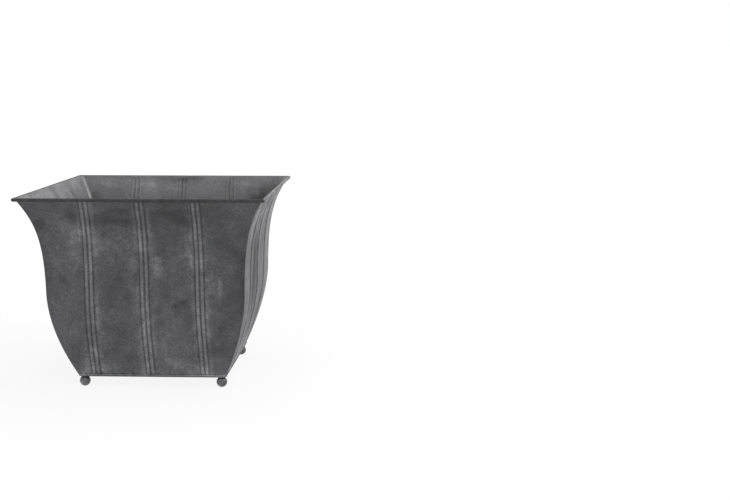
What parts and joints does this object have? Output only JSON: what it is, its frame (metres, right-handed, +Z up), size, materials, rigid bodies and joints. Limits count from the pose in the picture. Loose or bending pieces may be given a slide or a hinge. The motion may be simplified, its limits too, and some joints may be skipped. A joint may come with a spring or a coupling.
{
  "type": "planter",
  "caption": "Flared square sheet-metal planter with ogee sides, pressed vertical beads, a wired rim, a drained tray base and ball feet.",
  "frame": {"origin": "on the floor under the middle of the planter, midway between the four feet", "axes": "+Z up; -Y faces the viewer (front), +X to the viewer's right"},
  "size_m": [0.406, 0.406, 0.327],
  "materials": {
    "aged_zinc": "matte",
    "steel_wire": "satin",
    "solder": "satin",
    "foot_metal": "satin",
    "plated_steel": "satin"
  },
  "bodies": {
    "root": {"base_tray": "aged_zinc", "front_panel": "aged_zinc", "rim_wire_front": "steel_wire", "right_panel": "aged_zinc", "rim_wire_right": "steel_wire", "back_panel": "aged_zinc", "rim_wire_back": "steel_wire", "left_panel": "aged_zinc", "rim_wire_left": "steel_wire", "corner_seam_front_left": "solder", "ball_foot_front_left": "foot_metal", "foot_washer_front_left": "plated_steel", "foot_screw_front_left": "plated_steel", "corner_seam_front_right": "solder", "ball_foot_front_right": "foot_metal", "foot_washer_front_right": "plated_steel", "foot_screw_front_right": "plated_steel", "corner_seam_back_right": "solder", "ball_foot_back_right": "foot_metal", "foot_washer_back_right": "plated_steel", "foot_screw_back_right": "plated_steel", "corner_seam_back_left": "solder", "ball_foot_back_left": "foot_metal", "foot_washer_back_left": "plated_steel", "foot_screw_back_left": "plated_steel"}
  },
  "joints": []
}
